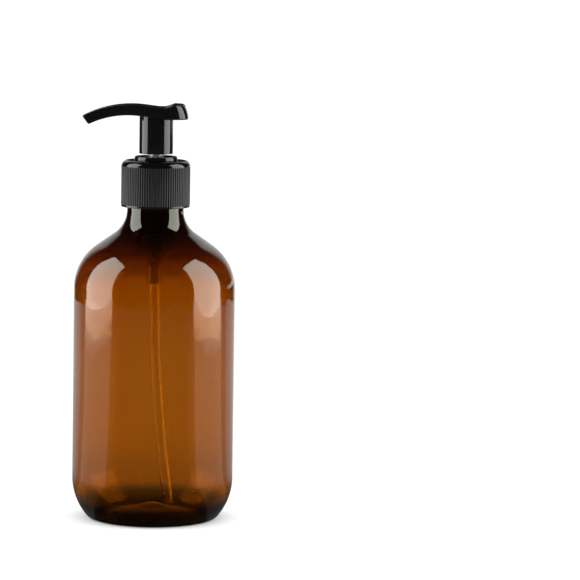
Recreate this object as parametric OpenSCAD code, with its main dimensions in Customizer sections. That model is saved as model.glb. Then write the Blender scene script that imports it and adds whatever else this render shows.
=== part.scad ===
// Amber oil bottle with a screw-on dispensing pump.
// Millimetres, +Z up. The origin is on the bottle's axis, on the surface that it stands on.
// The spout points along -X.

/* [Bottle] */
// Outside diameter of the straight wall
body_d = 75; // [70:0.5:80]
// Height at which the straight wall turns into the shoulder
wall_top = 107.8; // [95:0.5:130]
// Thickness of the blown wall
bottle_wall = 1; // [0.8:0.1:1.5]
// Radius of the round shoulder
shoulder_r = 24.3; // [20:0.1:26]
// Slope of the shoulder between its two curves, degrees from level
shoulder_slope = 35; // [30:1:42]
// Radius of the hollow curve between the shoulder and the neck
neck_fillet_r = 13.5; // [10:0.5:16]

/* [Base] */
// Diameter of the ring that the bottle stands on
ring_d = 55; // [50:0.5:58]
// Width of the flat land on that ring
ring_land = 0.6; // [0.4:0.1:1]
// Radius at the outside of the standing ring
heel_corner_r = 4.3; // [3:0.1:5]
// Steepness where the heel's corner turns into its long round flank, degrees from level
heel_slope = 51; // [42:1:58]
// Height of the push-up in the middle of the base
push_up = 4.5; // [3:0.25:6]
// Steepness of the push-up's edge, degrees from level
push_slope = 20; // [15:1:30]
// Radius at the inside of the standing ring
push_corner_r = 3; // [2:0.25:4]
// Radius of the flat spot at the middle of the push-up
gate_r = 3; // [2:0.5:4]

/* [Neck finish] */
// Outside diameter of the plain neck under the closure
neck_d = 26.3; // [26:0.1:27]
// Height of the plain neck above the neck curve
neck_plain_h = 2.3; // [1.5:0.1:3]
// Diameter of the finish at the root of its thread
finish_d = 25.2; // [24.8:0.1:25.6]
// Height of the threaded finish
finish_h = 17.3; // [16:0.1:18.5]
// Bore of the neck
neck_bore_d = 21.8; // [21.6:0.1:22.2]

/* [Closure] */
// Diameter of the closure's shoulder and lip
closure_d = 32; // [31.6:0.1:34]
// Height of the closure
closure_h = 21.6; // [20:0.1:22]
// Bore of the closure at the root of its thread
closure_bore_d = 28.3; // [28:0.1:28.8]
// Thickness of the closure's top plate
closure_top_t = 1.4; // [1.2:0.1:1.8]
// Radius of the closure's smooth shoulder
closure_shoulder_r = 2.6; // [2:0.1:3]
// Height of the smooth band above the ribs
smooth_band_h = 3.3; // [3.2:0.1:4.5]
// Height of the plain lip under the ribs
lip_h = 1; // [0.6:0.1:1.5]
// Number of grip ribs
rib_count = 84; // [60:1:90]
// Radius of one grip rib
rib_r = 0.45; // [0.4:0.01:0.5]
// Depth of the grooves between the ribs, below the lip
rib_depth = 0.4; // [0.3:0.05:0.5]
// How far the ribs stay inside the lip
rib_inset = 0.05; // [0.02:0.01:0.1]

/* [Pump] */
// Travel of the head when it is pressed
stroke = 13; // [10:0.5:14]
// Bore of the pump cylinder
cylinder_d = 13; // [12.5:0.1:13.4]
// Thickness of the cylinder's wall
cylinder_wall = 1; // [0.8:0.1:1.1]
// Thickness of the flange that sits on the neck
flange_t = 1; // [0.8:0.1:1.4]
// Diameter of that flange
flange_d = 25; // [24.4:0.1:25.6]
// Outside diameter of the wide cup below the flange
cup_d = 20.6; // [20.4:0.1:20.8]
// Diameter of the tube that the guide ring pushes into the cup
guide_tube_d = 18.6; // [18.3:0.1:18.8]
// Thickness of the sealing washer
gasket_t = 1; // [0.8:0.1:1.5]
// Diameter of the inlet ball
ball_d = 5; // [4.6:0.1:5.2]
// Lift of the inlet ball
ball_lift = 1.2; // [0.8:0.1:1.6]
// Thickness of the lugs that keep the ball down
lug_t = 0.8; // [0.6:0.1:1]
// How far those lugs reach over the ball
lug_hold = 0.4; // [0.3:0.05:0.8]
// Bore that the ball closes
throat_d = 3; // [2.6:0.1:3.2]
// Length of that bore
throat_h = 1; // [0.6:0.1:2]
// Diameter of the vent hole that lets air into the bottle
vent_d = 1.2; // [0.8:0.1:1.6]

/* [Dip tube] */
// Outside diameter of the dip tube
tube_d = 5.5; // [5:0.1:5.6]
// Bore of the dip tube
tube_bore_d = 4; // [3.4:0.1:4.2]
// Thickness of the socket's wall round the tube and the ball
socket_wall = 0.8; // [0.6:0.1:1]
// Length of the dip tube that is held in the socket
tube_grip = 8.4; // [6:0.2:10]
// Height of the dip tube's lowest point above the inside of the base
tube_end_gap = 1; // [0.5:0.1:3]
// Direction in which the dip tube bends, degrees from +X
tube_heading = -12; // [-90:1:90]

/* [Guide ring] */
// Diameter of the ring on top of the closure
guide_ring_d = 20.8; // [20.2:0.1:21.6]
// Height of that ring
guide_ring_h = 2.6; // [2.2:0.1:3]
// Width of the bevel round its upper edge
ring_bevel = 0.9; // [0.5:0.1:1.2]
// Thickness of the web across the guide ring's lower end
web_t = 1; // [0.8:0.1:1.2]
// Thickness of the chimney that guides the stem
chimney_wall = 1.1; // [0.8:0.1:1.3]
// Depth of the chimney's top below the top of the ring
chimney_drop = 1.2; // [0.8:0.1:2]

/* [Piston] */
// Outside diameter of the stem
stem_d = 7; // [6.6:0.1:7.2]
// Bore of the stem
stem_bore_d = 4.4; // [4:0.1:4.6]
// Room that is left under a moving piece at the end of the stroke
end_room = 0.7; // [0.5:0.1:1]
// Height of the piston
piston_h = 3.6; // [3.2:0.1:4.5]
// Lost motion of the piston on the stem, which opens the outlet
valve_gap = 1; // [0.6:0.1:1.4]
// Width of the stem's stop collar
collar_w = 1.1; // [0.8:0.1:1.6]
// Thickness of the stem's stop collar
collar_t = 0.8; // [0.6:0.1:1.2]
// Thickness of the flange that the spring pushes on
seat_t = 1.1; // [0.8:0.1:1.5]
// Length of the seat's plug inside the stem
plug_h = 1.2; // [0.8:0.1:1.6]
// Length of the seat's pilot inside the spring
pilot_h = 1.6; // [1:0.1:2.5]
// Diameter of the holes through the stem's wall
port_d = 1.4; // [1:0.1:1.5]

/* [Spring] */
// Diameter of the spring wire
wire_d = 0.8; // [0.6:0.05:0.9]
// Mean diameter of the spring
coil_d = 9; // [8.6:0.1:9.8]
// Number of turns, with one closed turn at each end
coil_turns = 6.5; // [5:0.5:8]

/* [Head] */
// Width of the finger pad
pad_w = 20.6; // [19:0.1:23]
// Distance from the stem's axis to the back of the pad
pad_back = 14.9; // [13:0.1:17]
// Radius of the pad's rear corners
pad_corner_r = 4.5; // [3:0.1:6]
// Height of the pad's rear ridge above its underside
pad_h = 6.8; // [6.4:0.1:7.6]
// Depth of the hollow under the pad
hollow_h = 3.9; // [3.2:0.1:4.2]
// Distance from the stem's axis to the front of that ridge
ridge_x = 8.4; // [7:0.1:10]
// How far the rear face leans in from bottom to top
rear_lean = 2.6; // [1:0.1:4]
// Distance from the stem's axis to the back of the saddle in front of the ridge
saddle_x = 1.6; // [0.5:0.1:3]
// Distance from the stem's axis to the tip of the spout
spout_reach = 34.3; // [31:0.1:40]
// Depth of the spout from top to underside
spout_t = 4.9; // [4.6:0.1:5.4]
// Width of the spout at its tip
tip_w = 8.3; // [7:0.1:9.5]
// Radius of the spout's upper curve
spout_curve_r = 48.6; // [44:0.2:60]
// Height of the spout's highest point above the pad's underside
spout_peak_h = 6.6; // [6.2:0.1:7.2]
// Distance from the stem's axis to the spout's highest point
spout_peak_x = 11.8; // [10:0.1:13]
// Bore of the spout
spout_bore_d = 3; // [2.4:0.1:3.2]
// Thickness of the spout's wall where it crosses the hollow head
bore_wall = 0.7; // [0.6:0.1:0.8]
// Outside diameter of the sleeve under the head
sleeve_d = 15.7; // [15.4:0.1:15.8]
// Depth to which the raised sleeve reaches below the guide ring's foot
sleeve_dip = 0.5; // [0.3:0.1:1]
// Thickness of the sleeve's wall
sleeve_wall = 1.1; // [0.9:0.1:1.3]
// Thickness of the head's moulded walls
head_wall = 1.4; // [1.2:0.1:1.6]
// Gap that stays under the pad when the head is fully down
head_gap = 3.6; // [1:0.1:5]

/* [Fits] */
// Radial clearance of a running fit
running = 0.08; // [0.03:0.01:0.1]
// Radial clearance of a pushed-together fit
pushed = 0.02; // [0.01:0.01:0.05]
// Gap between faces that move apart or turn on each other
play = 0.05; // [0.02:0.01:0.1]
// Radial gap round parts that only pass through
loose = 0.3; // [0.25:0.05:0.4]

/* [Hidden] */
$fn = 128;

// Small sizes that the mouldings share
edge_r = 0.3;        // broken edge
snap_h = 0.25;       // height of the snap bead on the guide ring
snap_w = 1.2;        // width of that bead
over = 1;            // how far a cutting tool runs past a face
tuck = 0.2;          // how far a wall runs into the plate that carries it
arc_sag = 0.02;      // how far the chords of a rounded outline may leave their arc
blend = 0.98;        // share of the room between two curves that their arcs fill

// Radii
body_r = body_d / 2;
neck_r = neck_d / 2;
finish_r = finish_d / 2;
neck_bore_r = neck_bore_d / 2;
closure_r = closure_d / 2;
closure_bore_r = closure_bore_d / 2;
cup_r = cup_d / 2;
guide_tube_r = guide_tube_d / 2;
cup_bore_r = guide_tube_r + pushed;
closure_hole_r = guide_tube_r + loose;
cylinder_r = cylinder_d / 2;
sleeve_r = sleeve_d / 2;
stem_r = stem_d / 2;
tube_r = tube_d / 2;
ball_r = ball_d / 2;
ring_bore_r = sleeve_r + running * 2;
guide_bore_r = sleeve_r + loose;
chimney_bore_r = stem_r + running;
chimney_r = chimney_bore_r + chimney_wall;
ball_room_r = ball_r + 0.5;
lug_bore_r = ball_r - lug_hold;
socket_r = max(ball_room_r, tube_r) + socket_wall;

// Bottle outline: corners of its straight lines, which the profile then rounds
heel_out_x = ring_d / 2 + ring_land / 2 + heel_corner_r * tan(heel_slope / 2);
heel_flank_r = blend * (body_r - ring_d / 2 - ring_land / 2 - heel_corner_r * sin(heel_slope))
               / (1 - sin(heel_slope));
heel_in_x = ring_d / 2 - ring_land / 2 - push_corner_r * tan(push_slope / 2);
dome_x = heel_in_x - push_up / tan(push_slope);
dome_run = min(dome_x - gate_r, blend * push_up / sin(push_slope) - push_corner_r * tan(push_slope / 2));
dome_r = dome_run / tan(push_slope / 2);
heel_top = (body_r - heel_out_x) * tan(heel_slope);
shoulder_z = wall_top + shoulder_r * tan((90 - shoulder_slope) / 2);
neck_z = shoulder_z + (body_r - neck_r) * tan(shoulder_slope);
finish_z = neck_z + neck_fillet_r * tan((90 - shoulder_slope) / 2) + neck_plain_h;
neck_top = finish_z + finish_h;

// Levels of the stack on the neck, going up
flange_z = neck_top + gasket_t;
roof_z = flange_z + flange_t;
closure_top = roof_z + closure_top_t;
closure_z = closure_top - closure_h;
ring_z = closure_top + play;
ring_top = ring_z + guide_ring_h;
pad_z = ring_top + head_gap + stroke;
plate_z = pad_z + hollow_h;

// Levels inside the pump, going down
sleeve_z = ring_z - sleeve_dip;
web_z = sleeve_z - stroke - end_room - web_t;
collar_z = web_z - play - collar_t;
piston_z = collar_z - play - valve_gap - piston_h;
seat_z = piston_z - play - seat_t;
snap_z = (web_z + ring_z) / 2;
floor_z = seat_z - stroke - (coil_turns + 1) * wire_d;
ball_z = floor_z - lug_t - play - ball_lift - ball_r;
throat_z = ball_z - play - (sqrt(2) * ball_r - throat_d / 2);
tube_stop = throat_z - throat_h;
socket_z = tube_stop - tube_grip;
chimney_top = ring_top - chimney_drop;
boss_z = chimney_top + stroke + end_room;
port_z = seat_z + seat_t + plug_h + port_d / 2;

// Dip tube: a straight end in the socket, then one long bend towards the edge of the base
tube_offset = neck_bore_r - tube_r - 1.5 * loose;
tube_end_z = push_up + bottle_wall + tube_end_gap;
tube_drop = socket_z - tube_end_z;
tube_bend_r = (pow(tube_drop, 2) + pow(tube_offset, 2)) / (2 * tube_offset);
tube_bend = asin(tube_drop / tube_bend_r);

// Spout: two curves about one centre, each with a short straight at the tip.
// Their angles are taken from +Z towards -X.
curve_x = -spout_peak_x;
curve_z = pad_z + spout_peak_h - spout_curve_r;
under_r = spout_curve_r - spout_t;
tip_run = 1.2;
curve_start = -7;
curve_end = asin((spout_reach - spout_peak_x) / norm([spout_curve_r, tip_run]))
            - atan(tip_run / spout_curve_r);
under_start = -3;
under_end = curve_end - 1.2;
channel_r = spout_curve_r - spout_t / 2;
over_stem = asin(spout_peak_x / channel_r);
stem_stop = curve_z + sqrt(pow(channel_r, 2) - pow(spout_peak_x - stem_r, 2)) - spout_bore_d / 2
            - edge_r;

// ---------- profile tools ----------

function unit(v) = v / norm(v);
function left_of(a, b) = [a.y - b.y, b.x - a.x] / norm(b - a);
function turn(a, p, b) = cross(p - a, b - p);

// Point p of a path that runs anticlockwise, moved inwards by t from both of its lines
function inset(a, p, b, t) = let (m = left_of(a, p), n = left_of(p, b)) p + (m + n) * t / (1 + m * n);

// A point of a spout curve, and where its tangents at two angles meet
function on_curve(r, t) = [curve_x, curve_z] + r * [-sin(t), cos(t)];
function curve_corner(r, start, end) = on_curve(r / cos((end - start) / 2), (start + end) / 2);

// The corner p of a path, rounded by an arc that touches both of its lines
function arc(a, p, b, r) =
  let (to_a = unit(a - p),
       to_b = unit(b - p),
       half = acos(to_a * to_b) / 2,
       centre = p + unit(to_a + to_b) * r / sin(half),
       start = p + to_a / tan(half) * r - centre,
       sweep = (180 - 2 * half) * sign(turn(a, p, b)),
       n = ceil(abs(sweep) / (2 * acos(1 - arc_sag / r))))
  [for (i = [0 : n]) let (t = sweep * i / n)
    centre + [start.x * cos(t) - start.y * sin(t), start.x * sin(t) + start.y * cos(t)]];

// A closed outline that runs anticlockwise through [x, y, radius] corners
module rounded(path) {
  n = len(path);
  points = [for (p = path) [p.x, p.y]];
  polygon([for (i = [0 : n - 1])
            each path[i].z > 0
              ? arc(points[(i + n - 1) % n], points[i], points[(i + 1) % n], path[i].z)
              : [points[i]]]);
}

// A ring between two radii, from z up by h
module tube(outer, inner, z, h)
  translate([0, 0, z]) rotate_extrude() translate([inner, 0]) square([outer - inner, h]);

// ---------- bottle ----------

module bottle() {
  foot = [[0, push_up], [dome_x, push_up], [heel_in_x, 0], [heel_out_x, 0], [body_r, heel_top],
          [body_r, shoulder_z], [neck_r, neck_z]];
  radii = [0, dome_r, push_corner_r, heel_corner_r, heel_flank_r, shoulder_r, neck_fillet_r];
  outer = [for (i = [0 : 6]) [foot[i].x, foot[i].y, radii[i]]];
  finish = [[neck_r, finish_z, edge_r], [finish_r, finish_z, 0], [finish_r, neck_top, 2 * edge_r],
            [0, neck_top, 0]];
  // the cavity follows the outline at one wall's distance, up to the bore of the neck
  inner = [for (i = [1 : 5]) let (
             p = inset(foot[i - 1], foot[i], foot[i + 1], bottle_wall),
             hollow = i == 1 ? 1 : -1)
           [p.x, p.y, radii[i] + hollow * bottle_wall]];
  slope_foot = inner[4];
  bore_z = slope_foot.y + (slope_foot.x - neck_bore_r) * tan(shoulder_slope);
  mouth = [[neck_bore_r, bore_z, neck_fillet_r + bottle_wall], [neck_bore_r, neck_top + over, 0],
           [0, neck_top + over, 0]];
  color([0.56, 0.29, 0.06, 0.6])
    rotate_extrude()
      difference() {
        rounded(concat(outer, finish));
        rounded(concat([[0, push_up + bottle_wall, 0]], inner, mouth));
      }
}

// ---------- closure and washer ----------

module gasket() {
  color([0.93, 0.93, 0.9]) tube(finish_r - edge_r, cup_r + pushed, neck_top, gasket_t);
}

module closure() {
  ribs_z = closure_z + lip_h;
  ribs_top = closure_top - smooth_band_h;
  groove_r = closure_r - rib_depth;
  color([0.15, 0.155, 0.16]) {
    rotate_extrude()
      rounded([[closure_bore_r, closure_z, edge_r], [closure_r, closure_z, edge_r],
               [closure_r, ribs_z, 0], [groove_r, ribs_z, 0], [groove_r, ribs_top, 0],
               [closure_r, ribs_top, 0], [closure_r, closure_top, closure_shoulder_r],
               [closure_hole_r, closure_top, edge_r], [closure_hole_r, roof_z, 0],
               [closure_bore_r, roof_z, 2 * edge_r]]);
    for (i = [0 : rib_count - 1])
      rotate(i * 360 / rib_count)
        translate([closure_r - rib_inset - rib_r, 0, ribs_z - tuck])
          cylinder(r = rib_r, h = ribs_top - ribs_z + 2 * tuck, $fn = 24);
  }
}

// ---------- fixed parts of the pump ----------

module guide_ring() {
  ring_r = guide_ring_d / 2;
  bore_step = 0.5;
  color([0.07, 0.07, 0.075])
    rotate_extrude() {
      rounded([[chimney_bore_r, web_z, 0], [guide_tube_r, web_z, edge_r], [guide_tube_r, ring_z, 0],
               [ring_r, ring_z, 0], [ring_r, ring_top - ring_bevel, edge_r],
               [ring_r - ring_bevel, ring_top, edge_r], [ring_bore_r, ring_top, edge_r],
               [ring_bore_r, ring_z, 0], [guide_bore_r, ring_z - bore_step, 0],
               [guide_bore_r, web_z + web_t, edge_r], [chimney_r, web_z + web_t, edge_r],
               [chimney_r, chimney_top, edge_r], [chimney_bore_r, chimney_top, edge_r]]);
      translate([guide_tube_r - edge_r, snap_z - snap_w / 2])
        polygon([[0, 0], [edge_r, 0], [edge_r + snap_h, snap_w / 2], [edge_r, snap_w], [0, snap_w]]);
    }
}

module pump_housing() {
  cup_floor_t = cylinder_wall;
  low_z = floor_z - cylinder_wall;
  out_r = cylinder_r + cylinder_wall;
  taper_h = 1.4;
  lug_angle = 50;
  color([0.9, 0.9, 0.87]) {
    difference() {
      rotate_extrude()
        difference() {
          rounded([[0, socket_z, 0], [socket_r, socket_z, edge_r], [socket_r, low_z - taper_h, 1.5],
                   [out_r, low_z, 1], [out_r, web_z - cup_floor_t, 2 * edge_r],
                   [cup_r, web_z - cup_floor_t, 1], [cup_r, flange_z, 0], [flange_d / 2, flange_z, 0],
                   [flange_d / 2, roof_z, edge_r], [0, roof_z, 0]]);
          rounded([[0, socket_z - over, 0], [tube_r + pushed, socket_z - over, 0],
                   [tube_r + pushed, tube_stop, 0], [throat_d / 2, tube_stop, 0],
                   [throat_d / 2, throat_z, 0],
                   [ball_room_r, throat_z + ball_room_r - throat_d / 2, 0], [ball_room_r, floor_z, 0],
                   [cylinder_r, floor_z, edge_r], [cylinder_r, web_z, 0], [cup_bore_r, web_z, 0],
                   [cup_bore_r, snap_z - snap_w / 2, 0], [cup_bore_r + snap_h, snap_z, 0],
                   [cup_bore_r, snap_z + snap_w / 2, 0],
                   [cup_bore_r, roof_z + over, 0], [0, roof_z + over, 0]]);
        }
      // vent, which the piston uncovers as it goes down
      translate([0, 0, piston_z + piston_h / 2])
        rotate([0, 90, 90]) cylinder(d = vent_d, h = out_r + over);
    }
    // three lugs that keep the ball under the spring
    for (i = [0 : 2])
      rotate(120 * i)
        translate([0, 0, floor_z - lug_t])
          rotate_extrude(angle = lug_angle)
            translate([lug_bore_r, 0]) square([ball_room_r - lug_bore_r + edge_r, lug_t]);
  }
}

module dip_tube() {
  module ring() difference() {
    circle(tube_r);
    circle(d = tube_bore_d);
  }
  cut_slant = 30;
  cut_size = 8 * tube_d;
  color([0.88, 0.88, 0.85])
    rotate(tube_heading)
      difference() {
        union() {
          translate([0, 0, socket_z]) linear_extrude(tube_grip) ring();
          translate([tube_bend_r, 0, socket_z])
            rotate([90, 0, 0])
              rotate(180) rotate_extrude(angle = tube_bend) translate([tube_bend_r, 0]) ring();
        }
        // the lower end is cut on a slant
        translate([tube_offset + tube_r, 0, tube_end_z])
          rotate([0, cut_slant, 0]) translate([0, 0, -cut_size / 2]) cube(cut_size, center = true);
      }
}

module inlet_ball() {
  color([0.8, 0.85, 0.85]) translate([0, 0, ball_z]) sphere(ball_r);
}

// ---------- moving parts of the pump ----------

// One mesh swept along the coil: one turn at each end lies closed, and the rest has an even pitch
module return_spring() {
  sides = 8;
  steps = 16;
  count = round(coil_turns * steps);
  low = floor_z + play + wire_d / 2;
  high = seat_z - play - wire_d / 2;
  closed = 1.02 * wire_d;
  pitch = (high - low - 2 * closed) / (coil_turns - 2);
  function rise(t) = t < 1 ? closed * t
    : t < coil_turns - 1 ? closed + pitch * (t - 1)
    : high - low - closed * (coil_turns - t);
  function ring_point(i, k) = let (a = 360 * i / steps, b = 360 * k / sides,
                                   r = coil_d / 2 + wire_d / 2 * cos(b))
    [r * cos(a), r * sin(a), low + rise(i / steps) + wire_d / 2 * sin(b)];
  points = [for (i = [0 : count]) for (k = [0 : sides - 1]) ring_point(i, k)];
  walls = [for (i = [0 : count - 1]) for (k = [0 : sides - 1]) let (
             a = i * sides + k, b = i * sides + (k + 1) % sides)
           each [[a, b, b + sides], [a, b + sides, a + sides]]];
  first_end = [[for (k = [0 : sides - 1]) sides - 1 - k]];
  last_end = [[for (k = [0 : sides - 1]) count * sides + k]];
  color([0.75, 0.76, 0.78]) polyhedron(points, concat(walls, first_end, last_end));
}

module piston() {
  lip_r = cylinder_r - running / 2;
  waist_r = lip_r - 0.9;
  lip = 0.3 * piston_h;
  lip_root = lip + 0.2;
  top = piston_z + piston_h;
  bore = stem_r + running;
  skirt = bore + 0.8;
  color([0.93, 0.93, 0.9])
    rotate_extrude()
      rounded([[skirt, piston_z, edge_r], [lip_r, piston_z, edge_r], [lip_r, piston_z + lip, 0],
               [waist_r, piston_z + lip_root, edge_r], [waist_r, top - lip_root, edge_r],
               [lip_r, top - lip, 0], [lip_r, top, edge_r], [bore, top, 0],
               [bore, top - lip, 0], [skirt, top - lip_root, 0]]);
}

// Cap on the stem's lower end: the piston closes on its upper face, the spring pushes on its lower
module piston_seat() {
  top = seat_z + seat_t;
  flange_r = (coil_d + wire_d) / 2 + loose;
  pilot_r = (coil_d - wire_d) / 2 - loose;
  pilot_z = seat_z - pilot_h;
  plug_r = stem_bore_d / 2 - pushed;
  plug_top = top + plug_h - play;
  color([0.9, 0.9, 0.87])
    rotate_extrude()
      rounded([[0, pilot_z, 0], [pilot_r, pilot_z, 2 * edge_r], [pilot_r, seat_z, 0],
               [flange_r, seat_z, edge_r], [flange_r, top, edge_r], [plug_r, top, 0],
               [plug_r, plug_top, edge_r], [0, plug_top, 0]]);
}

module stem() {
  stem_z = seat_z + seat_t;
  stem_top = stem_stop - play;
  collar_r = stem_r + collar_w;
  color([0.9, 0.9, 0.87])
    difference() {
      rotate_extrude()
        rounded([[stem_bore_d / 2, stem_z, 0], [stem_r, stem_z, 0], [stem_r, collar_z, 0],
                 [collar_r, collar_z, 0], [collar_r, collar_z + collar_t, 0],
                 [stem_r, collar_z + collar_t, 0], [stem_r, stem_top, edge_r],
                 [stem_bore_d / 2, stem_top, edge_r]]);
      // two cross holes that lead from the piston's inside into the stem
      for (turned = [0, 90])
        rotate(turned) translate([0, 0, port_z])
          rotate([0, 90, 0]) cylinder(d = port_d, h = stem_d + over, center = true);
    }
}

// Side view of the head, in X and Z
module head_side() {
  function tip(r, t) = on_curve(r, t) - tip_run * [cos(t), sin(t)];
  curve = curve_corner(spout_curve_r, curve_start, curve_end);
  under = curve_corner(under_r, under_start, under_end);
  tip_top = tip(spout_curve_r, curve_end);
  tip_low = tip(under_r, under_end);
  start = on_curve(spout_curve_r, curve_start);
  saddle_z = start.y + (saddle_x - start.x) * tan(curve_start);
  // the underside rises from the pad's level to the spout inside the sleeve's width
  low_x = stem_r + 1;
  rise_x = -stem_r + 0.5;
  rise = 1.1;
  rounded([[pad_back, pad_z, 0.5], [pad_back - rear_lean, pad_z + pad_h, 1.3],
           [ridge_x, pad_z + pad_h, 4], [saddle_x + 2.6, saddle_z, 6], [saddle_x - 0.6, saddle_z, 10],
           [curve.x, curve.y, spout_curve_r], [tip_top.x, tip_top.y, edge_r],
           [tip_low.x, tip_low.y, edge_r], [under.x, under.y, under_r],
           [rise_x, pad_z + rise, 9], [low_x, pad_z, 9]]);
}

// Plan of the head, in X and Y, brought in by t: a pad with round rear corners, whose sides
// run parallel past the stem and then taper to the tip in a slight hollow
module head_plan(t = 0) {
  half = pad_w / 2 - t;
  tip = tip_w / 2 - t;
  waist = tip + (half - tip) * 0.22;
  r = pad_corner_r - t;
  shoulder = [1, half, 12];
  hollow = [-22, waist, 60];
  end = [-spout_reach - over + t, tip, 0];
  function other_side(p) = [p.x, -p.y, p.z];
  rounded([other_side(end), other_side(hollow), other_side(shoulder),
           [pad_back - t, -half, r], [pad_back - t, half, r], shoulder, hollow, end]);
}

module pump_head() {
  boss_r = stem_r + running + 1.2;
  // a round rod along the middle of the spout's curve, which starts over the stem
  module curved_rod(d, sweep)
    translate([curve_x, 0, curve_z])
      rotate([90, 0, 0])
        rotate(90 - over_stem)
          rotate_extrude(angle = sweep) translate([channel_r, 0]) circle(d = d);
  color([0.06, 0.06, 0.065])
    difference() {
      union() {
        difference() {
          intersection() {
            rotate([90, 0, 0]) linear_extrude(2 * pad_w, center = true) head_side();
            translate([0, 0, pad_z - over]) linear_extrude(pad_h + 2 * over) head_plan();
          }
          // hollow under the pad and inside the sleeve
          intersection() {
            translate([0, 0, pad_z - over]) linear_extrude(plate_z - pad_z + over) head_plan(head_wall);
            translate([-sleeve_r + sleeve_wall / 2, -pad_w, pad_z - over])
              cube([sleeve_r - sleeve_wall / 2 + pad_back - rear_lean - head_wall, 2 * pad_w, pad_h]);
          }
        }
        tube(sleeve_r, sleeve_r - sleeve_wall, sleeve_z, plate_z + tuck - sleeve_z);
        tube(boss_r, stem_bore_d / 2, boss_z, plate_z + tuck - boss_z);
        curved_rod(spout_bore_d + 2 * bore_wall, over_stem);
      }
      translate([0, 0, boss_z - over]) cylinder(r = stem_r + pushed, h = stem_stop - boss_z + over);
      translate([0, 0, stem_stop]) cylinder(d = stem_bore_d, h = plate_z - stem_stop);
      curved_rod(spout_bore_d, over_stem + curve_end + 5);
    }
}

bottle();
gasket();
closure();
guide_ring();
pump_housing();
dip_tube();
inlet_ball();
return_spring();
piston();
piston_seat();
stem();
pump_head();
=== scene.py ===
"""Amber oil bottle with a screw-on dispensing pump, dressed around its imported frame."""
import math

import bmesh
import bpy
import numpy as np
from mathutils import Matrix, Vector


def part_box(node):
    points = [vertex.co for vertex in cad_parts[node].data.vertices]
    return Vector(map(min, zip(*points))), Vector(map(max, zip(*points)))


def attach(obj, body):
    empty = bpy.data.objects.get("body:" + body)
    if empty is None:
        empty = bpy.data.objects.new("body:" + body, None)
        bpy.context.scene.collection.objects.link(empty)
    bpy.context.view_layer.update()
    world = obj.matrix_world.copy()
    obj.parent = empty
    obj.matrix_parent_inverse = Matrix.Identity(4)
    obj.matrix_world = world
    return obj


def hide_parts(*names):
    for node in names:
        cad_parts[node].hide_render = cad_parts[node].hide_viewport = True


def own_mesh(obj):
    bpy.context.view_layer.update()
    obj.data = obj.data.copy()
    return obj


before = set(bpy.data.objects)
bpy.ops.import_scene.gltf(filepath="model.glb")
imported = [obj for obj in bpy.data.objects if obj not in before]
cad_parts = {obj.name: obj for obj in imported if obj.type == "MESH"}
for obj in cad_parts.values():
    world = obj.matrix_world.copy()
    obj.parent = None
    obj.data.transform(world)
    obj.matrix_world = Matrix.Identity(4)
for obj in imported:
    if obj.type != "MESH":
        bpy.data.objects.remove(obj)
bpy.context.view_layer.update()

# ---------------------------------------------------------------- camera
# A long lens at table height, a little above the closure and tilted down to the foot.
camera_place = (0.0631, -1.676, 0.2932)
tilt_down = math.radians(6.31)
roll = math.radians(0.89)

lens = bpy.data.cameras.new("camera")
lens.lens = 224.75
lens.sensor_width = 36
lens.clip_start = 0.05
camera = bpy.data.objects.new("camera", lens)
camera.matrix_world = (Matrix.Translation(camera_place)
                       @ Matrix.Rotation(math.radians(90) - tilt_down, 4, "X")
                       @ Matrix.Rotation(roll, 4, "Z"))
bpy.context.scene.collection.objects.link(camera)
bpy.context.scene.camera = camera


# ---------------------------------------------------------------- bottle
# Stretch-blown clear amber PET: a thin even wall that thickens towards the neck, where the
# preform hardly stretched, and an injection-moulded finish with one and a half turns of thread.
MM = 0.001
body_r, neck_r, finish_r, bore_r = 37.5, 13.15, 12.6, 10.9
# levels at which the lines of wall, shoulder and neck meet, and at which the finish begins
shoulder_z, neck_z, finish_z = 120.45, 137.50, 146.83
shoulder_r, neck_fillet_r, edge_r = 24.3, 13.5, 0.4
neck_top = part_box("bottle")[1].z / MM
lip_h, lip_out_r, lip_in_r = 0.6, 0.55, 0.3
# the standing ring, the heel outside it and the push-up inside it
stand_r, stand_land, push_up = 27.5, 0.6, 4.5
heel_slope, heel_corner_r, heel_flank_r = math.radians(51), 4.3, 27.96
push_slope, push_corner_r, dome_r = math.radians(20), 3, 64.12
# thickness of the wall at heights going up, and of the gate that the base keeps in its middle
wall_z = [70, 85, 97, 104, 110, 118, 122, 127, 133, neck_z + 4]
wall_t = [0.75, 0.8, 0.92, 1.0, 1.1, 1.35, 1.6, 2.0, 2.3, 2.25]
gate_t, gate_in, gate_out, base_top = 2.2, 2, 9, 20
turn_pitch, turn_count = 4.233, 1.5
ridge_width, ridge_depth = 2.6, 1.1
ridge_start = neck_top - 9.2
# how fine the grid is: sides of the bottle, and rows on its wall and across the thread
bottle_sides, wall_rows, thread_rows = 192, 3, 0.22


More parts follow.
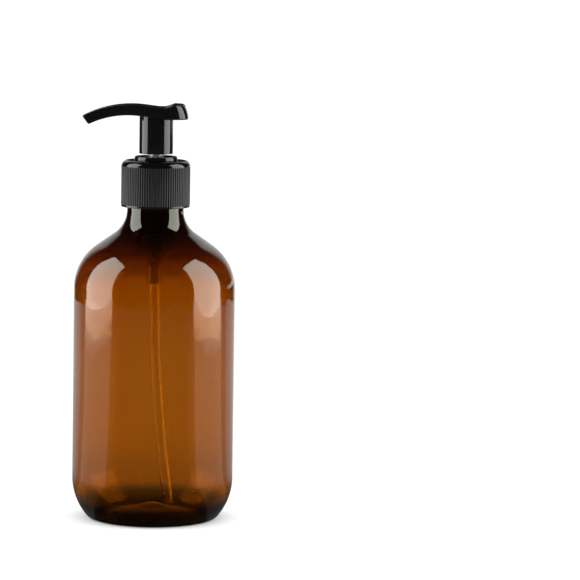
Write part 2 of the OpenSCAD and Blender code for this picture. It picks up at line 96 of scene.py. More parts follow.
def rounded(corners, step=3.0):
    """An open outline through [x, z, radius] corners: each inner corner becomes an arc that
    touches both of its lines, with a point every few degrees. A corner that has no radius, or
    hardly bends, stays a point."""
    corners = np.array(corners, float)
    points = [corners[:1, :2]]
    for before, (x, z, radius), after in zip(corners[:-2], corners[1:-1], corners[2:]):
        corner = np.array([x, z])
        to_a = (before[:2] - corner) / np.linalg.norm(before[:2] - corner)
        to_b = (after[:2] - corner) / np.linalg.norm(after[:2] - corner)
        half = math.acos(np.clip(to_a @ to_b, -1, 1)) / 2
        if radius == 0 or half > math.radians(89.9):
            points.append(corner[None])
            continue
        centre = corner + (to_a + to_b) / np.linalg.norm(to_a + to_b) * radius / math.sin(half)
        start = corner + to_a * radius / math.tan(half) - centre
        sweep = (math.pi - 2 * half) * np.sign(to_b[0] * to_a[1] - to_b[1] * to_a[0])
        turn = np.linspace(0, sweep, max(3, int(math.degrees(abs(sweep)) / step) + 1))[:, None]
        points.append(centre + np.hstack([start[0] * np.cos(turn) - start[1] * np.sin(turn),
                                          start[0] * np.sin(turn) + start[1] * np.cos(turn)]))
    points.append(corners[-1:, :2])
    return np.vstack(points)


def spaced(outline, gap):
    """The same outline with points added, so that no stretch of it is longer than gap. Points
    nearer than 0.02 to the one before are left out."""
    length = np.r_[0, np.cumsum(np.linalg.norm(np.diff(outline, axis=0), axis=1))]
    even = np.linspace(0, length[-1], int(length[-1] / gap) + 1)
    place = np.unique(np.round(np.r_[length, even], 6))
    place = place[np.r_[True, np.diff(place) > 0.02]]
    return np.column_stack([np.interp(place, length, outline[:, i]) for i in (0, 1)])


def turned(outline, angles, swell=0):
    """A surface of revolution: each outline point [radius, height] at each angle about the axis,
    with swell added to the radius."""
    radius = np.maximum(outline[:, :1] + swell, 0) * np.ones(len(angles))
    height = outline[:, 1:] * np.ones(len(angles))
    return np.dstack([radius * np.cos(angles), radius * np.sin(angles), height])


def piece(name, *grids, weld=2e-7, crisp=40):
    """One mesh from grids of points in millimetres, each closed round its second direction.
    Rows that shrink to a point are welded, every shell is turned outwards, and edges that bend
    by more than the crisp angle are shaded as edges."""
    places, faces, first = [], [], 0
    for grid in grids:
        rows, columns = grid.shape[:2]
        index = first + np.arange(rows * columns).reshape(rows, columns)
        beside = np.roll(index, -1, axis=1)
        faces.append(np.dstack([index[:-1], beside[:-1], beside[1:], index[1:]]).reshape(-1, 4))
        places.append(grid.reshape(-1, 3) * MM)
        first += rows * columns
    mesh = bpy.data.meshes.new(name)
    mesh.from_pydata(np.vstack(places), [], np.vstack(faces))
    work = bmesh.new()
    work.from_mesh(mesh)
    bmesh.ops.remove_doubles(work, verts=work.verts, dist=weld)
    bmesh.ops.recalc_face_normals(work, faces=work.faces)
    work.to_mesh(mesh)
    work.free()
    mesh.shade_smooth()
    mesh.set_sharp_from_angle(angle=math.radians(crisp))
    obj = bpy.data.objects.new(name, mesh)
    bpy.context.scene.collection.objects.link(obj)
    return obj


def ease(low, high, value):
    """0 below low, 1 above high, and an even S between them."""
    t = np.clip((value - low) / (high - low), 0, 1)
    return t * t * (3 - 2 * t)


def thread(angles, height, start):
    """Depth of the helical ridge at each height and angle: it rises by one pitch a turn, keeps
    its crest over two fifths of its width, and runs out over a sixth of a turn at both ends."""
    ridge = np.zeros((len(height), len(angles)))
    for lap in range(math.ceil(turn_count)):
        along = angles / (2 * math.pi) + lap
        away = np.abs(height[:, None] - start - turn_pitch * along)
        fade = ease(0, 1 / 6, along) * ease(0, 1 / 6, turn_count - along)
        crest = ease(-ridge_width / 2, -ridge_width / 5, -away)
        ridge = np.maximum(ridge, ridge_depth * fade * crest)
    return ridge


def srgb(text):
    """The linear colour of an sRGB hex value."""
    part = np.array([int(text[i:i + 2], 16) for i in (1, 3, 5)]) / 255
    linear = np.where(part < 0.04045, part / 12.92, ((part + 0.055) / 1.055) ** 2.4)
    return (*linear.tolist(), 1.0)


def add(tree, kind, inputs={}, **settings):
    """Adds one node: settings go on the node itself, inputs are values or sockets to link."""
    made = tree.nodes.new("ShaderNode" + kind)
    for key, value in settings.items():
        setattr(made, key, value)
    for key, value in inputs.items():
        if isinstance(value, bpy.types.NodeSocket):
            tree.links.new(value, made.inputs[key])
        else:
            made.inputs[key].default_value = value
    return made


def finish_named(name):
    """An empty material, its node tree, its output and its coordinates on the piece."""
    made = bpy.data.materials.new(name)
    made.use_nodes = True
    made.node_tree.nodes.clear()
    return (made, made.node_tree, add(made.node_tree, "OutputMaterial"),
            add(made.node_tree, "TexCoord").outputs["Object"])


def coat(tree, output, sockets, colour, rough=None, relief=None):
    """The finish that the pieces share. Each pattern runs from 0 to 1: colour is a pattern and
    its two end colours, rough a pattern and its two end roughnesses, and relief a pattern with
    its strength and its depth in metres. Sockets holds the shader's other values."""
    pattern, dark, light = colour
    shade = add(tree, "Mix", {0: pattern, 6: dark, 7: light}, data_type="RGBA")
    sockets = {"Base Color": shade.outputs[2], **sockets}
    if rough:
        pattern, least, most = rough
        gloss = add(tree, "MapRange", {"Value": pattern, "To Min": least, "To Max": most})
        sockets["Roughness"] = gloss.outputs[0]
    if relief:
        pattern, strength, depth = relief
        bump = add(tree, "Bump", {"Height": pattern, "Strength": strength, "Distance": depth})
        sockets["Normal"] = bump.outputs[0]
    shell = add(tree, "BsdfPrincipled", sockets)
    tree.links.new(shell.outputs[0], output.inputs["Surface"])


heel_in_x = stand_r - stand_land / 2 - push_corner_r * math.tan(push_slope / 2)
heel_out_x = stand_r + stand_land / 2 + heel_corner_r * math.tan(heel_slope / 2)
outside = rounded([[0, push_up, 0], [heel_in_x - push_up / math.tan(push_slope), push_up, dome_r],
                   [heel_in_x, 0, push_corner_r], [heel_out_x, 0, heel_corner_r],
                   [body_r, (body_r - heel_out_x) * math.tan(heel_slope), heel_flank_r],
                   [body_r, shoulder_z, shoulder_r], [neck_r, neck_z, neck_fillet_r],
                   [neck_r, finish_z, edge_r], [finish_r, finish_z, 0]])
outside = spaced(outside, wall_rows)[:-1]
flow = np.gradient(outside, axis=0)
inward = np.column_stack([-flow[:, 1], flow[:, 0]]) / np.linalg.norm(flow, axis=1)[:, None]
inward[0] = (0, 1)
# the wall's inside lies one thickness along the normal, and the base thickens to its gate
wall = np.interp(outside[:, 1], wall_z, wall_t)
wall += (outside[:, 1] < base_top) * (gate_t - wall_t[0]) * ease(-gate_out, -gate_in,
                                                                 -outside[:, 0])
inside = outside + inward * wall[:, None]
inside = inside[inside[:, 1] < finish_z - 1]
inside[:, 0] = np.where(inside[:, 1] > neck_z, np.maximum(inside[:, 0], bore_r), inside[:, 0])

around = np.linspace(0, 2 * math.pi, bottle_sides, endpoint=False)
finish = spaced(np.array([[finish_r, finish_z], [finish_r, neck_top - lip_h]]), thread_rows)
lip = rounded([[finish_r, neck_top - lip_h, 0], [finish_r, neck_top, lip_out_r],
               [bore_r, neck_top, lip_in_r], [bore_r, neck_top - 1, 0]], 15)[1:]
bottle = piece("bottle_shell", np.vstack([
    turned(outside, around),
    turned(finish, around, thread(around, finish[:, 1], ridge_start)),
    turned(lip, around),
    turned(inside[::-1], around)]))

# Clear amber PET is coloured all through, so its colour deepens with the wall's thickness: one
# half of the tint is in the volume and the other on the face, where it is darker on the neck and
# base: partly for the thicker plastic and partly as painted shade, of the cap over the neck and
# of the floor under the bottle. The mould leaves a polished face, with a faint ripple from
# blowing.
amber, tree, output, place = finish_named("amber_pet_blow_moulded")
neck_level, base_level, base_share = (0.1165, 0.137), (0.0065, 0.0118), 0.95
ripple = add(tree, "TexNoise", {"Vector": place, "Scale": 1 / 0.018, "Detail": 2.0})
dust = add(tree, "TexNoise", {"Vector": place, "Scale": 1 / 0.0015, "Detail": 3.0})
level = add(tree, "SeparateXYZ", {0: place}).outputs["Z"]
neck = add(tree, "MapRange", {"Value": level, "From Min": neck_level[0],
                              "From Max": neck_level[1]}, interpolation_type="SMOOTHSTEP")
base = add(tree, "MapRange", {"Value": level, "From Min": base_level[0],
                              "From Max": base_level[1], "To Min": base_share, "To Max": 0.0},
           interpolation_type="SMOOTHSTEP")
# the face darkens on the neck and base: thicker plastic, with painted shade of the cap and of the
# floor under the bottle
thick_and_shaded = add(tree, "Math", {0: neck.outputs[0], 1: base.outputs[0]}, operation="MAXIMUM")
coat(tree, output, {"IOR": 1.57, "Transmission Weight": 1.0,
                    "Specular Tint": (0.97, 1.0, 0.84, 1.0)},
     colour=(thick_and_shaded.outputs[0], srgb("#d8b037"), srgb("#50483a")),
     rough=(dust.outputs[0], 0.0, 0.04), relief=(ripple.outputs[0], 0.2, 0.0005))
depth = add(tree, "VolumeAbsorption", {"Color": srgb("#efdf38"), "Density": 2600.0})
tree.links.new(depth.outputs[0], output.inputs["Volume"])
bottle.data.materials.append(amber)
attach(bottle, "bottle")
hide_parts("bottle")


# ---------------------------------------------------------------- closure
# Injection-moulded polypropylene screw cap: fine round grip ribs with a spark-eroded satin face,
# a polished shoulder above and a polished lip below, and the thread that matches the neck's.
closure_low, closure_high = (corner.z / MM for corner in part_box("closure"))
closure_r, closure_bore_r, hole_r = 16.0, 14.15, 9.6
closure_shoulder_r, closure_edge_r, corner_in_r = 2.6, 0.3, 0.6
# the inner roof stands 0.04 clear of the pump's flange
top_t = 1.36
roof = closure_high - top_t
rib_count, rib_depth, rib_steps, rib_round = 84, 0.42, 8, 0.55
ribs_low, ribs_high = closure_low + 1.0, closure_high - 2.7
ribs_start, ribs_end = 0.12, 0.35
thread_top, thread_foot, bore_count, nick = roof - 0.9, closure_low + 0.5, 70, 0.01

ribbed = np.linspace(0, 2 * math.pi, rib_count * rib_steps, endpoint=False)
skirt = rounded([[closure_bore_r, roof - corner_in_r, 0],
                 [closure_bore_r, closure_low, closure_edge_r],
                 [closure_r, closure_low, closure_edge_r], [closure_r, ribs_low, 0],
                 [closure_r, ribs_low + ribs_start, 0], [closure_r, ribs_high - ribs_end, 0],
                 [closure_r, ribs_high, 0], [closure_r, closure_high, closure_shoulder_r],
                 [hole_r, closure_high, closure_edge_r], [hole_r, roof, 0],
                 [closure_bore_r, roof, corner_in_r],
                 [closure_bore_r, roof - corner_in_r, 0]], 9)
bore_rows = np.column_stack([np.full(bore_count, closure_bore_r),
                             np.linspace(thread_top, thread_foot, bore_count)])
skirt = np.vstack([skirt[:1], bore_rows, skirt[1:]])
# ribs: round crests with narrow grooves, which run out at both ends
groove = 1 - np.abs(np.cos(ribbed * rib_count / 2)) ** rib_round
grip = (ease(ribs_low - nick, ribs_low + ribs_start - nick, skirt[:, 1])
        * (1 - ease(ribs_high - ribs_end - nick, ribs_high, skirt[:, 1]))
        * (skirt[:, 0] > closure_r - nick))
swell = -rib_depth * grip[:, None] * groove
# the thread stands on the bore, half a pitch below the neck's
threaded = ((np.abs(skirt[:, 0] - closure_bore_r) < nick)
            & (skirt[:, 1] < roof - corner_in_r - 0.05))
swell -= threaded[:, None] * thread(ribbed, skirt[:, 1], ridge_start - turn_pitch / 2)
closure = piece("closure_cap", turned(skirt, ribbed, swell))

# Black polypropylene: the eroded mould leaves a fine grain, drawn coarser here so that it shows,
# that spreads the highlights on the ribs. Shoulder and lip are polished and mirror the lamps, and
# the shoulder's colour is painted darker than the ribs' as painted shade on the top.
satin, tree, output, place = finish_named("black_polypropylene_eroded")
grain = add(tree, "TexNoise", {"Vector": place, "Scale": 1 / 0.0004, "Detail": 4.0})
patches = add(tree, "TexNoise", {"Vector": place, "Scale": 1 / 0.006, "Detail": 2.0})
level = add(tree, "SeparateXYZ", {0: place}).outputs["Z"]
eroded_rough, polished_rough = 0.39, 0.08
above = {"Value": level, "From Min": (ribs_high - 0.4) * MM, "From Max": (ribs_high + 0.2) * MM}
below = {"Value": level, "From Min": ribs_low * MM, "From Max": (ribs_low + ribs_start) * MM}
shoulder = add(tree, "MapRange", {**above, "To Min": eroded_rough, "To Max": polished_rough})
rim = add(tree, "MapRange", {**below, "To Min": polished_rough, "To Max": eroded_rough})
smooth = add(tree, "Math", {0: shoulder.outputs[0], 1: rim.outputs[0]}, operation="MINIMUM")
wear = add(tree, "MapRange", {"Value": patches.outputs[0], "To Min": -0.03, "To Max": 0.05})
rough = add(tree, "Math", {0: smooth.outputs[0], 1: wear.outputs[0]}, operation="ADD")
ribs = add(tree, "Mix", {0: patches.outputs[0], 6: srgb("#101112"), 7: srgb("#17181a")},
           data_type="RGBA")
# the shoulder above the ribs gets a darker colour: painted shade on the top
coat(tree, output, {"Roughness": rough.outputs[0], "IOR": 1.47},
     colour=(add(tree, "MapRange", above).outputs[0], ribs.outputs[2], srgb("#0a0a0b")),
     relief=(grain.outputs[0], 0.35, 0.00005))
closure.data.materials.append(satin)
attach(closure, "closure")
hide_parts("closure")


# ---------------------------------------------------------------- pump head
# One gloss black moulding: finger pad with a rear ridge and a shallow saddle, a drooping curved
# spout with a round outlet, a hollow under the pad, and the sleeve that slides in the guide ring.
# Lengths run from the stem's axis, towards the tip where they are negative.
pad_h, pad_back, pad_half, corner_r = 6.8, 14.9, 10.3, 7.5
pad_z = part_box("pump_head")[1].z / MM - pad_h
rear_top_r, rear_low_r = 1.3, 0.5
rear_lean, lean_from, lean_curve = 1.9, 6.0, 1.6
# the saddle ahead of the ridge, and the bulge of the underside ahead of the pad
saddle_x, saddle_front, saddle_back, ridge_x = 1.6, 1.0, 4.2, 8.4
belly_x, belly_h, flat_x = -3, 1.1, 4.5
# the spout's curves have one centre, and their angles run from straight up towards the tip
curve_x, curve_r, under_r, peak_h = -11.8, 48.6, 43.7, 6.6
curve_z = pad_z + peak_h - curve_r
top_end, low_end, channel_end = math.radians(26.15), math.radians(24.95), 0.26
channel_r, outlet_r, outlet_edge = 46.15, 1.5, 0.25
tip_x, tip_half, tip_run, tip_edge = -34.3, 4.15, 1.2, 0.45
waist_x, waist_share, pad_front, head_edge = -22, 0.22, 1, 0.8
hollow_z, wall_in = pad_z + 3.9, 1.4
hollow_front, hollow_back = -7.3, 10.9
sleeve_r, sleeve_in_r, stem_r, boss_r = 7.85, 6.75, 3.5, 4.78
# the sleeve ends just above the guide ring, and the boss that holds the stem ends below the pad
sleeve_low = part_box("guide_ring")[1].z / MM + 0.423
boss_low = pad_z - 4.1


def on_curve(radius, angle):
    """A point of the spout's curves, at an angle from straight up towards the tip."""
    return np.column_stack([curve_x - radius * np.sin(angle), curve_z + radius * np.cos(angle)])


def drop(radius, past):
    """How far a quarter-round edge has fallen back at a distance past its start: the radius less
    the root of its square minus the distance's."""
    return radius - math.sqrt(max(radius ** 2 - max(past, 0) ** 2, 0))


# side view: upper and lower outline over the pad, back to the spout's two arcs
crest_end = -7
crest = on_curve(curve_r, np.radians([0, -1.5, -3, -4.5, -6, crest_end]))
saddle_z = crest[-1, 1] + (saddle_x - crest[-1, 0]) * math.tan(math.radians(crest_end))
upper = np.vstack([crest, rounded([[*crest[-1], 0], [saddle_front, saddle_z, 10],
                                   [saddle_back, saddle_z, 6], [ridge_x, pad_z + pad_h, 4],
                                   [pad_back, pad_z + pad_h, 0]])[1:]])
belly = on_curve(under_r, np.radians([0, -1, -2, -3]))
lower = np.vstack([belly, rounded([[*belly[-1], 0], [belly_x, pad_z + belly_h, 9],
                                   [flat_x, pad_z, 9], [pad_back, pad_z, 0]])[1:]])
# plan view: half width over the length
waist = tip_half + (pad_half - tip_half) * waist_share
plan = rounded([[tip_x - 2, tip_half, 0], [waist_x, waist, 60], [pad_front, pad_half, 12],
                [pad_back, pad_half, 0]])
# places of the sections, from the back face to the tip
corner = pad_back - corner_r * (1 - np.sin(np.radians(np.linspace(90, 0, 19))))
notch = [hollow_back + 0.05, hollow_back - 0.05, hollow_front + 0.05, hollow_front - 0.05]
straight = np.unique(np.r_[corner, notch, np.linspace(corner[-1], curve_x, 60)])[::-1]
bend = np.linspace(0, 1, 40)[1:]


def section(width, height, sunk):
    """A section's outline as a closed loop of [across, up], clockwise from the middle of its top:
    a rectangle with quarter-round corners, and a channel sunk into its bottom. The first half is
    worked out and then mirrored."""
    quarter = np.radians(np.linspace(90, 0, 9))
    flat = width - head_edge
    across = flat + head_edge * np.cos(quarter)
    rise = head_edge * np.sin(quarter)
    within = max(width - wall_in, 0.3 * width)
    half = np.vstack([
        np.column_stack([np.linspace(0, 1, 8)[:-1] * flat, np.full(7, height)]),
        np.column_stack([across, height - head_edge + rise]),
        np.column_stack([np.full(5, width), np.linspace(height - head_edge, head_edge, 7)[1:-1]]),
        np.column_stack([across[::-1], (head_edge - rise)[::-1]]),
        [[min(within + 0.2, flat - 0.01), 0], [within, 0]],
        np.column_stack([np.full(4, within - 0.02), np.linspace(0, sunk, 6)[1:-1]]),
        np.column_stack([np.linspace(1, 0, 8) * (within - 0.05), np.full(8, sunk)])])
    return np.vstack([half, half[-2:0:-1] * (-1, 1)])


def spout(share, run=0.0, inset=0.0):
    """One section of the spout: its top and bottom lie on their own arcs at a share of the arcs'
    ends, run is a straight way past them, and inset draws the outline in all round."""
    ends = []
    for radius, end in ((under_r, low_end), (curve_r, top_end)):
        angle = end * share
        ends.append(on_curve(radius, np.array([angle]))[0]
                    - run * np.array([math.cos(angle), math.sin(angle)]))
    low, top = ends
    tall = np.linalg.norm(top - low)
    up = (top - low) / tall
    loop = section(np.interp(low[0], *plan.T), tall, 0.0) - (0, tall / 2)
    loop -= inset * np.sign(loop) * np.minimum(np.abs(loop), 1)
    middle = (low + top) / 2
    return np.column_stack([middle[0] + up[0] * loop[:, 1], loop[:, 0],
                            middle[1] + up[1] * loop[:, 1]]), middle, up


def outlet_ring(centre, up, radius, clock):
    """A circle of the outlet about its centre in the plane of Y and up, at clock's angles."""
    return centre + radius * (np.cos(clock)[:, None] * (0, 1, 0) + np.sin(clock)[:, None] * up)


rows = []
for x in straight:
    z_top = np.interp(x, *upper.T) - drop(rear_top_r, x - pad_back + rear_top_r)
    z_low = np.interp(x, *lower.T) + drop(rear_low_r, x - pad_back + rear_low_r)
    width = np.interp(x, *plan.T) - drop(corner_r, x - pad_back + corner_r)
    sunk = hollow_z - z_low if hollow_front < x < hollow_back else 0.0
    loop = section(width, z_top - z_low, sunk) + (0, z_low)
    lean = (rear_lean * ease(lean_from, pad_back, x)
            * np.clip((loop[:, 1] - pad_z) / pad_h, 0, 1) ** lean_curve)
    rows.append(np.column_stack([x - lean, loop]))
rear = rows[0].mean(axis=0) * (1, 0, 1)
rows.insert(0, np.tile(rear, (len(rows[0]), 1)))
rows += [spout(share)[0] for share in bend]
# the tip: a small round edge, a flat face, and the outlet that runs back along the spout
for quarter in np.radians([0, 22.5, 45, 67.5, 90]):
    row, middle, up = spout(1.0, tip_run - tip_edge * (1 - math.sin(quarter)),
                            tip_edge * (1 - math.cos(quarter)))
    rows.append(row)
middle, up = np.array([middle[0], 0, middle[1]]), np.array([up[0], 0, up[1]])
inwards = np.array([up[2], 0, -up[0]])
first = rows[-1][0] - middle
clock = np.arctan2(first @ up, first[1]) - np.linspace(0, 2 * math.pi, len(row), endpoint=False)
rows.append(outlet_ring(middle, up, outlet_r + outlet_edge, clock))
rows.append(outlet_ring(middle + inwards * outlet_edge, up, outlet_r, clock))
for angle in np.linspace(low_end, channel_end, 20):
    x, z = on_curve(channel_r, np.array([angle]))[0]
    up = np.array([-math.sin(angle), 0, math.cos(angle)])
    rows.append(outlet_ring(np.array([x, 0, z]), up, outlet_r, clock))
rows.append(np.tile(rows[-1].mean(axis=0), (len(clock), 1)))

# sleeve and boss run a little way into the hollow's ceiling
ceiling = hollow_z + 0.2
sleeve = rounded([[sleeve_in_r, sleeve_low + 4, 0], [sleeve_in_r, sleeve_low, 0.2],
                  [sleeve_r, sleeve_low, 0.2], [sleeve_r, ceiling, 0], [sleeve_in_r, ceiling, 0],
                  [sleeve_in_r, sleeve_low + 4, 0]], 15)
boss_in_r = stem_r + 0.02
boss = rounded([[boss_in_r, boss_low + 1.323, 0], [boss_in_r, boss_low, 0.3],
                [boss_r, boss_low, 0.3], [boss_r, ceiling, 0], [boss_in_r, ceiling, 0],
                [boss_in_r, boss_low + 1.323, 0]], 15)
fine = np.linspace(0, 2 * math.pi, 128, endpoint=False)
head = piece("pump_head_moulding", np.array(rows), turned(sleeve, fine), turned(boss, fine))

# Gloss black polypropylene from a polished mould: a mirror face with a very slight orange peel
# and a few hairline scuffs from packing.
black, tree, output, place = finish_named("black_polypropylene_polished")
peel = add(tree, "TexNoise", {"Vector": place, "Scale": 1 / 0.003, "Detail": 2.0})
scuff = add(tree, "TexNoise", {"Vector": place, "Scale": 1 / 0.0009, "Detail": 5.0,
                               "Distortion": 1.5})
gloss = add(tree, "MapRange", {"Value": scuff.outputs[0], "From Min": 0.35, "From Max": 0.75,
                               "To Min": 0.07, "To Max": 0.16})
coat(tree, output, {"Roughness": gloss.outputs[0], "IOR": 1.47},
     colour=(peel.outputs[0], srgb("#0b0b0c"), srgb("#101012")),
     relief=(peel.outputs[0], 0.15, 0.0001))
head.data.materials.append(black)
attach(head, "head")
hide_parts("pump_head")


# ---------------------------------------------------------------- guide ring
# Gloss black moulded ring that is snapped into the pump's cup on top of the closure. It lies
# round the sleeve with a flat top and a steep rim, and a tube below it holds the stem's guide.
guide_tube_r, guide_r, bevel_r = 9.3, 10.25, 9.75
tube_low, ring_high = (corner.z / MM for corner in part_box("guide_ring"))
ring_low, shelf = closure_high + 0.05, ring_high - 0.85
ring_bore_r, guide_bore_r = sleeve_r + 0.16, sleeve_r + 0.3
chimney_in, chimney_out, chimney_high = stem_r + 0.08, stem_r + 1.18, ring_high - 1.2
web_high = tube_low + 1

ring_outline = rounded([
    [chimney_in, web_high, 0], [chimney_in, tube_low, 0.2], [guide_tube_r, tube_low, 0.3],
    [guide_tube_r, ring_low, 0], [guide_r, ring_low, 0.2], [bevel_r, shelf, 0.25],
    [ring_bore_r, shelf, 0.1], [ring_bore_r, ring_low, 0], [guide_bore_r, ring_low - 0.5, 0],
    [guide_bore_r, web_high, 0.3], [chimney_out, web_high, 0.3],
    [chimney_out, chimney_high, 0.3], [chimney_in, chimney_high, 0.2],
    [chimney_in, web_high, 0]], 12)
ring = piece("guide_ring_moulding", turned(ring_outline, fine))
ring.data.materials.append(black)
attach(ring, "pump")
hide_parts("guide_ring")


# ---------------------------------------------------------------- fixed pump parts
# Housing, stem and piston seat are moulded in natural polypropylene: unpigmented, so it lets
# light through with a milky cast.


def dress(material, *nodes):
    """Gives solids of the frame their own material in place of the plain one."""
    for node in nodes:
        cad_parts[node].data.materials.clear()
        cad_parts[node].data.materials.append(material)


natural, tree, output, place = finish_named("natural_polypropylene_moulded")
cloud = add(tree, "TexNoise", {"Vector": place, "Scale": 1 / 0.004, "Detail": 3.0})
grain = add(tree, "TexNoise", {"Vector": place, "Scale": 1 / 0.0005, "Detail": 3.0})
coat(tree, output, {"IOR": 1.49, "Transmission Weight": 0.82},
     colour=(cloud.outputs[0], srgb("#e3e2db"), srgb("#ebeae4")),
     rough=(grain.outputs[0], 0.12, 0.24), relief=(grain.outputs[0], 0.2, 0.00004))
dress(natural, "pump_housing", "stem", "piston_seat")

# Dip tube of extruded low-density polyethylene: clearer and smoother than the housing, with
# faint lines along it from the die.
clear, tree, output, place = finish_named("natural_polyethylene_extruded")
drawn = add(tree, "Mapping", {"Vector": place, "Scale": (1 / 0.0004, 1 / 0.0004, 1 / 0.02)})
line = add(tree, "TexNoise", {"Vector": drawn.outputs[0], "Scale": 1.0, "Detail": 2.0})
coat(tree, output, {"IOR": 1.51, "Transmission Weight": 1.0},
     colour=(line.outputs[0], srgb("#f6f5f2"), srgb("#fbfaf8")),
     rough=(line.outputs[0], 0.03, 0.1), relief=(line.outputs[0], 0.1, 0.00001))
dress(clear, "dip_tube")


# ---------------------------------------------------------------- washer and piston
# Die-cut washer of white closed-cell polyethylene foam, which seals the pump on the neck: its
# cells give it a fine pitted face without gloss.
foam, tree, output, place = finish_named("white_polyethylene_foam")
cells = add(tree, "TexVoronoi", {"Vector": place, "Scale": 1 / 0.0006})
coat(tree, output, {"Roughness": 0.75, "IOR": 1.5},
     colour=(cells.outputs[0], srgb("#e4e3de"), srgb("#f1f0ec")),
     relief=(cells.outputs[0], 0.6, 0.00015))
dress(foam, "gasket")

# Moulded piston of soft white polyethylene, which slides on the stem and seals against the
# cylinder: a satin, slightly waxy face with the fine turning marks of its mould.
waxy, tree, output, place = finish_named("white_polyethylene_moulded")
mark = add(tree, "TexWave", {"Vector": place, "Scale": 1 / 0.0012, "Distortion": 0.6},
           bands_direction="Z")
coat(tree, output, {"Roughness": 0.38, "IOR": 1.51, "Subsurface Weight": 0.2,
                    "Subsurface Scale": 0.001},
     colour=(mark.outputs[1], srgb("#e9e8e2"), srgb("#f2f1ec")),
     relief=(mark.outputs[1], 0.1, 0.00003))
dress(waxy, "piston")


# ---------------------------------------------------------------- return spring
# Cold-coiled stainless wire: one closed turn lies flat at each end, the rest is evenly open.
# Its upper end goes down with the head, and its lower end stays on the housing's seat.
wire_r, coil_r, coil_turns, coil_steps = 0.4, 4.5, 6.5, 36
spring_low, spring_high = (corner.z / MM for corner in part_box("return_spring"))
closed = 2.04 * wire_r

along = np.linspace(0, coil_turns, int(coil_turns * coil_steps) + 1)
reach = spring_high - spring_low - 2 * wire_r
rise = np.interp(along, [0, 1, coil_turns - 1, coil_turns], [0, closed, reach - closed, reach])
out = np.column_stack([np.cos(2 * math.pi * along), np.sin(2 * math.pi * along), 0 * along])
axis = coil_r * out + (spring_low + wire_r + rise)[:, None] * (0, 0, 1)
spin = np.linspace(0, 2 * math.pi, 12, endpoint=False)
coil = axis[:, None] + wire_r * (np.cos(spin)[:, None] * out[:, None]
                                 + np.sin(spin)[:, None] * np.array([0, 0, 1]))
ends = [np.tile(axis[i], (len(spin), 1)) for i in (0, -1)]
spring = piece("return_spring_wire", np.concatenate([ends[:1], coil, ends[1:]]))

steel, tree, output, place = finish_named("stainless_spring_wire_drawn")
die = add(tree, "TexNoise", {"Vector": place, "Scale": 1 / 0.0005, "Detail": 3.0})
coat(tree, output, {"Metallic": 1.0}, colour=(die.outputs[0], srgb("#a9abad"), srgb("#c9cacb")),
     rough=(die.outputs[0], 0.18, 0.34))
spring.data.materials.append(steel)
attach(spring, "spring")
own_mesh(spring)
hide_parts("return_spring")


# ---------------------------------------------------------------- inlet ball
# Ground glass ball that rests on the inlet seat and lifts as the pump draws. Grinding leaves it
# clear, with a trace of haze.
glass, tree, output, place = finish_named("soda_lime_glass_ground")
haze = add(tree, "TexNoise", {"Vector": place, "Scale": 1 / 0.0008, "Detail": 3.0})
coat(tree, output, {"IOR": 1.52, "Transmission Weight": 1.0},
     colour=(haze.outputs[0], srgb("#eef4f2"), srgb("#f8fbfa")),
     rough=(haze.outputs[0], 0.02, 0.12))
dress(glass, "inlet_ball")


# ---------------------------------------------------------------- floor
# Plain white sheet that runs on to the horizon. The camera sees it white with a trace of the
# object's shadow. Polished faces see painted light on it, laid out as a dark room's table would
# be lit by the soft boxes, and through the plastic it glows pale, with painted shade that darkens
# it towards the foot of the bottle.
far = 60
floor_mesh = bpy.data.meshes.new("floor")
floor_mesh.from_pydata([(-far, -far, 0), (far, -far, 0), (far, far, 0), (-far, far, 0)], [],
                       [(0, 1, 2, 3)])
floor = bpy.data.objects.new("floor", floor_mesh)
bpy.context.scene.collection.objects.link(floor)


def patch(tree, *edges, light=1.0):
    """The light of one patch: a level times its soft edges. An edge is a coordinate, the two
    values between which it runs along an even S, and its levels at both, 0 and 1 unless given."""
    for value, low, high, *levels in edges:
        before, after = levels or (0.0, 1.0)
        edge = add(tree, "MapRange", {"Value": value, "From Min": low, "From Max": high,
                                      "To Min": before, "To Max": after},
                   interpolation_type="SMOOTHSTEP")
        light = add(tree, "Math", {0: light, 1: edge.outputs[0]}, operation="MULTIPLY").outputs[0]
    return light


def brightest(tree, light, *others):
    """The highest of several levels at each point."""
    for other in others:
        light = add(tree, "Math", {0: light, 1: other}, operation="MAXIMUM").outputs[0]
    return light


paper, tree, output, place = finish_named("white_sheet")
path = add(tree, "LightPath")
mottle = add(tree, "TexNoise", {"Vector": place, "Scale": 1 / 0.05, "Detail": 2.0})
shade = add(tree, "Mix", {0: mottle.outputs[0], 6: srgb("#f1f1f1"), 7: srgb("#f5f5f5")},
            data_type="RGBA")
matt = add(tree, "BsdfDiffuse", {"Color": shade.outputs[2]})

# coordinates on the sheet: metres to the side and from the axis, and three ratios that stay the
# same along a line from the foot of the bottle
spot = add(tree, "SeparateXYZ", {0: place})
right, away = spot.outputs["X"], spot.outputs["Y"]
side = add(tree, "Math", {0: right}, operation="ABSOLUTE").outputs[0]
reach = add(tree, "VectorMath", {0: place}, operation="LENGTH").outputs["Value"]
bearing, slant, breadth = [
    add(tree, "Math", {0: part, 1: whole}, operation="DIVIDE").outputs[0]
    for part, whole in ((away, reach), (away, side), (side, reach))]

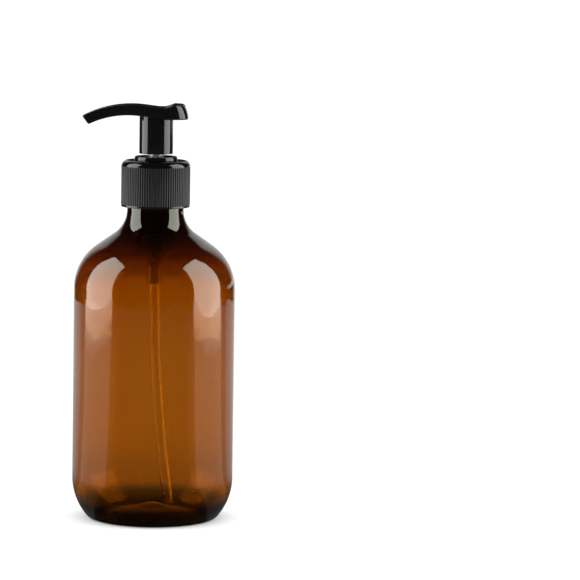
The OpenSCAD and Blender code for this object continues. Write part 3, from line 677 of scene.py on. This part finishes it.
# painted light that a mirror sees near the object: dim ahead, a strip towards each soft box with
# a fainter flank behind it, painted shade close to the foot, and nothing past the lit part
box_front, box_rear, lit_end, dark = (-0.6, -0.52), (0.38, 0.46), (0.91, 0.93), 0.015
ahead = patch(tree, (bearing, -0.75, -0.45, 0.1, 0.25))
strip = patch(tree, (slant, *box_front), (slant, *box_rear, 0.85, 0))
flank = patch(tree, (slant, *box_rear), (slant, 0.58, 0.8, 0.35, 0.68))
near = patch(tree, (reach, 0.12, 0.6, 0.75, 1), (reach, 0.07, 0.18, 0.15, 1),
             (reach, *lit_end, 1, 0), light=brightest(tree, ahead, strip, flank))
# painted light, brightest at the feet of the soft boxes, up to their plane
foot = patch(tree, (side, 0.5, 0.86, 0, 3), (side, 0.88, 0.885, 1, 0),
             (slant, -0.64, -0.56), (slant, 0.36, 0.44, 1, 0))
# far behind the object it sees white, and a painted glowing patch to the right
behind = patch(tree, (bearing, 0.86, 0.97, 0, 0.9))
painted_glow_patch = patch(tree, (bearing, 0.58, 0.72), (reach, 1.9, 2.1), (right, 0, 0.1))
painted_mirror_light = brightest(tree, near, foot, behind, painted_glow_patch, dark)
# through the plastic, painted light and shade: a painted shadow under the bottle, painted light
# brighter to its sides, and a little dimmer far away
to_the_sides = (0.75, 0.95, 1, 2.5)
through = patch(tree, (reach, 0.03, 0.08, 0, 0.7), (reach, 0.05, 0.28, 0.86, 1.43),
                (breadth, *to_the_sides), (reach, 1.6, 2.6, 1, 0.62))
strength = add(tree, "Mix", {0: path.outputs["Is Transmission Ray"], 2: painted_mirror_light, 3: through})
painted_floor_glow = add(tree, "Emission", {"Color": (1, 1, 1, 1), "Strength": strength.outputs[0]})
# to the camera: white, but for the contact shadow under the bottle and a trace further out
share = patch(tree, (reach, 0.028, 0.042), (reach, 0.2, 0.8, 0.8, 1),
              light=path.outputs["Is Camera Ray"])
glow = add(tree, "Emission", {"Color": (1, 1, 1, 1), "Strength": 1.08})
lit = add(tree, "MixShader", {0: share, 1: matt.outputs[0], 2: glow.outputs[0]})
sharp = brightest(tree, path.outputs["Is Glossy Ray"], path.outputs["Is Transmission Ray"])
both = add(tree, "MixShader", {0: sharp, 1: lit.outputs[0], 2: painted_floor_glow.outputs[0]})
tree.links.new(both.outputs[0], output.inputs["Surface"])
floor_mesh.materials.append(paper)


# ---------------------------------------------------------------- lamps and surroundings
# Two upright soft boxes stand left and right of the object in a dark room. The camera sees plain
# white behind, and so does light that passes the plastic, where it is brighter to the sides.
box_w, box_h, box_level = 0.82, 1.32, 4.6
box_side, box_y, box_z = 0.88, -0.1, 0.655
for hand in (-1, 1):
    box = bpy.data.lights.new("soft_box", "AREA")
    box.shape = "RECTANGLE"
    box.size, box.size_y = box_w, box_h
    box.energy = box_level * math.pi * box_w * box_h
    lamp = bpy.data.objects.new("soft_box", box)
    lamp.matrix_world = (Matrix.Translation((box_side * hand, box_y, box_z))
                         @ Matrix.Rotation(math.radians(90 * hand), 4, "Z")
                         @ Matrix.Rotation(math.radians(90), 4, "X"))
    lamp.visible_camera = False
    bpy.context.scene.collection.objects.link(lamp)

world = bpy.data.worlds.new("studio")
world.use_nodes = True
bpy.context.scene.world = world
tree = world.node_tree
tree.nodes.clear()
path = add(tree, "LightPath")
way = add(tree, "SeparateXYZ", {0: add(tree, "TexCoord").outputs["Generated"]})
across = add(tree, "Math", {0: way.outputs["X"]}, operation="ABSOLUTE").outputs[0]
seen = brightest(tree, path.outputs["Is Camera Ray"],
                 patch(tree, (across, *to_the_sides), light=path.outputs["Is Transmission Ray"]))
# the dark room fills the shadows a little, and a pale field behind the object, left and right of
# the middle, gives the polished shoulders a rim
fill = add(tree, "Math", {0: path.outputs["Is Diffuse Ray"], 1: 0.5, 2: dark},
           operation="MULTIPLY_ADD").outputs[0]
rim = patch(tree, (across, 0.07, 0.1), (across, 0.3, 0.6, 0.8, 0), (way.outputs["Y"], 0.7, 0.8),
            light=path.outputs["Is Glossy Ray"])
sky = add(tree, "Background", {"Color": (1, 1, 1, 1),
                               "Strength": brightest(tree, seen, fill, rim)})
tree.links.new(sky.outputs[0], add(tree, "OutputWorld").inputs["Surface"])

bpy.context.scene.view_settings.view_transform = "Standard"
